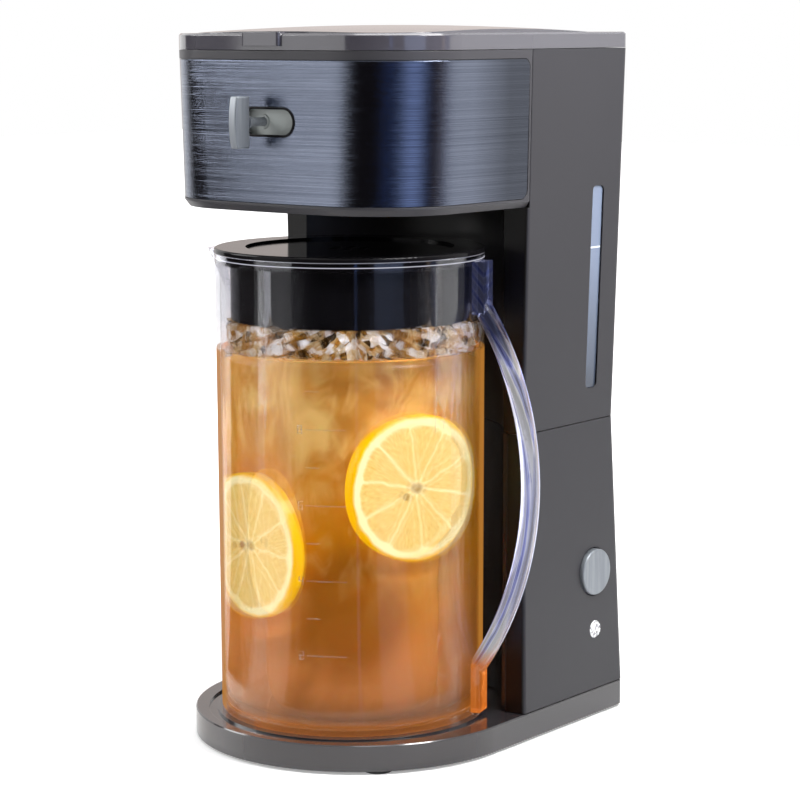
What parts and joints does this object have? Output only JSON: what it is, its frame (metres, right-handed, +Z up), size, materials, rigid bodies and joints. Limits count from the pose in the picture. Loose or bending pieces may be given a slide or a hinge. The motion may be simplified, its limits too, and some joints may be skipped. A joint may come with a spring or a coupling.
{
  "type": "iced coffee maker",
  "caption": "Countertop iced coffee maker with an overhanging brew head, strength lever, hinged lid, side button and removable clear pitcher.",
  "frame": {"origin": "on the table, under the centre of the round base", "axes": "+Z up, -Y towards the front, +X to the right when seen from the front"},
  "size_m": [0.1995, 0.2369, 0.3982],
  "materials": {
    "body_plastic": "fine satin",
    "base_plastic": "polished",
    "lid_plastic": "satin gloss",
    "panel_steel": "dark, brushed along its length",
    "dark_trim": "glossy black",
    "silver_button": "brushed",
    "pale_plate": "satin",
    "inner_plastic": "moulded",
    "mesh": "fine woven mesh",
    "tank_plastic": "frosted",
    "clear_plastic": "clear",
    "lens": "faceted",
    "lamp": "tinted",
    "rubber": "matt",
    "silicone": "smooth",
    "steel": "plain",
    "cast_aluminium": "as cast",
    "white_plastic": "moulded",
    "switch_plastic": "moulded"
  },
  "bodies": {
    "machine": {"base_tray": "base_plastic", "base_plate": "base_plastic", "rubber_feet": "rubber", "base_screws": "steel", "tower_screws": "steel", "lower_housing": "body_plastic", "upper_housing": "body_plastic", "recess_panel": "inner_plastic", "head_screws": "steel", "head_shell": "body_plastic", "front_panel": "panel_steel", "slot_bezel": "dark_trim", "basket_holder": "inner_plastic", "drip_nozzle": "inner_plastic", "brew_basket": "inner_plastic", "filter_mesh": "mesh", "shower_arm": "inner_plastic", "water_tank": "tank_plastic", "tank_seal": "silicone", "water_window": "clear_plastic", "check_valve": "white_plastic", "cold_hose": "silicone", "hot_hose": "silicone", "hose_clamps": "steel", "heater_body": "cast_aluminium", "heater_element": "steel", "heater_brackets": "steel", "thermostat": "steel", "thermal_fuse": "white_plastic", "button_spring": "steel", "switch_body": "switch_plastic", "pilot_lens": "lens", "pilot_lamp": "lamp", "cord_gland": "rubber", "terminal_block": "white_plastic", "inner_leads": "white_plastic", "hinge_pins": "steel"},
    "lid": {"top_lid": "lid_plastic"},
    "selector": {"selector_ring": "pale_plate", "selector_knob": "silver_button"},
    "button": {"power_button": "silver_button"},
    "pitcher": {"pitcher_body": "clear_plastic", "pitcher_handle": "clear_plastic"},
    "pitcher_cover": {"pitcher_lid": "dark_trim"}
  },
  "joints": [
    {"name": "lid_hinge", "type": "hinge", "parent": "machine", "child": "lid", "pos_m": [0, 0.1384, 0.385], "axis": [-1, 0, 0], "range_deg": [0, 95]},
    {"name": "strength_lever", "type": "hinge", "parent": "machine", "child": "selector", "pos_m": [0, -0.0065, 0.3476], "axis": [0, 0, 1], "range_deg": [-7, 16.9]},
    {"name": "button_press", "type": "slide", "parent": "machine", "child": "button", "axis": [-1, 0, 0], "range_m": [0, 0.0025], "stiffness_N_per_m": 300, "springref_m": -0.002, "deforming": ["button_spring"]},
    {"name": "pitcher_slide", "type": "slide", "parent": "machine", "child": "pitcher", "axis": [0, -1, 0], "range_m": [0, 0.2]},
    {"name": "cover_turn", "type": "hinge", "parent": "pitcher", "child": "pitcher_cover", "pos_m": [0, -0.0065, 0.2757], "axis": [0, 0, 1], "range_deg": [0, 120]}
  ]
}
